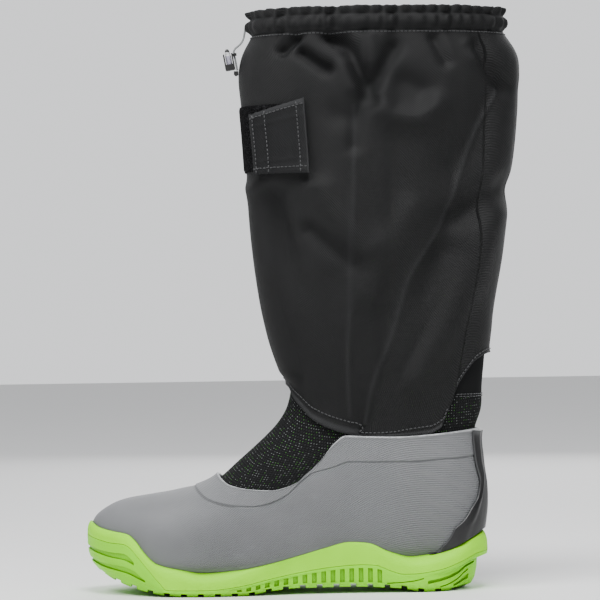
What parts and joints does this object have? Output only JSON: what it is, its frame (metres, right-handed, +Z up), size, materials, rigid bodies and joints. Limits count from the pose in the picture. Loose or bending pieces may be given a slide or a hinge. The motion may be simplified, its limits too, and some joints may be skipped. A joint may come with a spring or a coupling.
{
  "type": "sailing boot",
  "caption": "Tall left sailing boot: grey moulded rubber foot, green sole with a high toe guard, black textile shaft with a drawcord hem, cord lock and closure flap.",
  "frame": {"origin": "middle of the heel's flat tread, on the floor", "axes": "+Z up the shaft, -Y to the toe, +X to the outer side of the left foot"},
  "size_m": [0.1084, 0.3295, 0.434],
  "materials": {
    "sole_rubber": "satin lime green",
    "midsole_foam": "matte lime green foam",
    "insole_foam": "matte dark grey lining",
    "shell_rubber": "matte mid grey",
    "counter_rubber": "glossy black",
    "knit": "black knitted mesh",
    "twill": "black twill",
    "hem_twill": "black twill",
    "loop_pile": "black loop pile",
    "tab_twill": "black twill webbing",
    "cord": "dark grey braided cord",
    "lock_plastic": "black",
    "plunger_plastic": "light grey",
    "tab_plastic": "black"
  },
  "bodies": {
    "boot": {"outsole": "sole_rubber", "midsole": "midsole_foam", "insole": "insole_foam", "shell": "shell_rubber", "heel_counter": "counter_rubber", "bootie": "knit", "bootie_foot": "knit", "gaiter": "twill", "hem_channel": "hem_twill", "loop_patch": "loop_pile", "strap_tab": "tab_twill", "drawcord": "cord", "lock_housing": "lock_plastic", "cord_end": "tab_plastic"},
    "plunger": {"lock_plunger": "plunger_plastic"}
  },
  "joints": [
    {"name": "plunger_slide", "type": "slide", "parent": "boot", "child": "plunger", "axis": [0, 0.1736, -0.9848], "range_m": [0, 0.003], "stiffness_N_per_m": 300, "springref_m": -0.004}
  ]
}
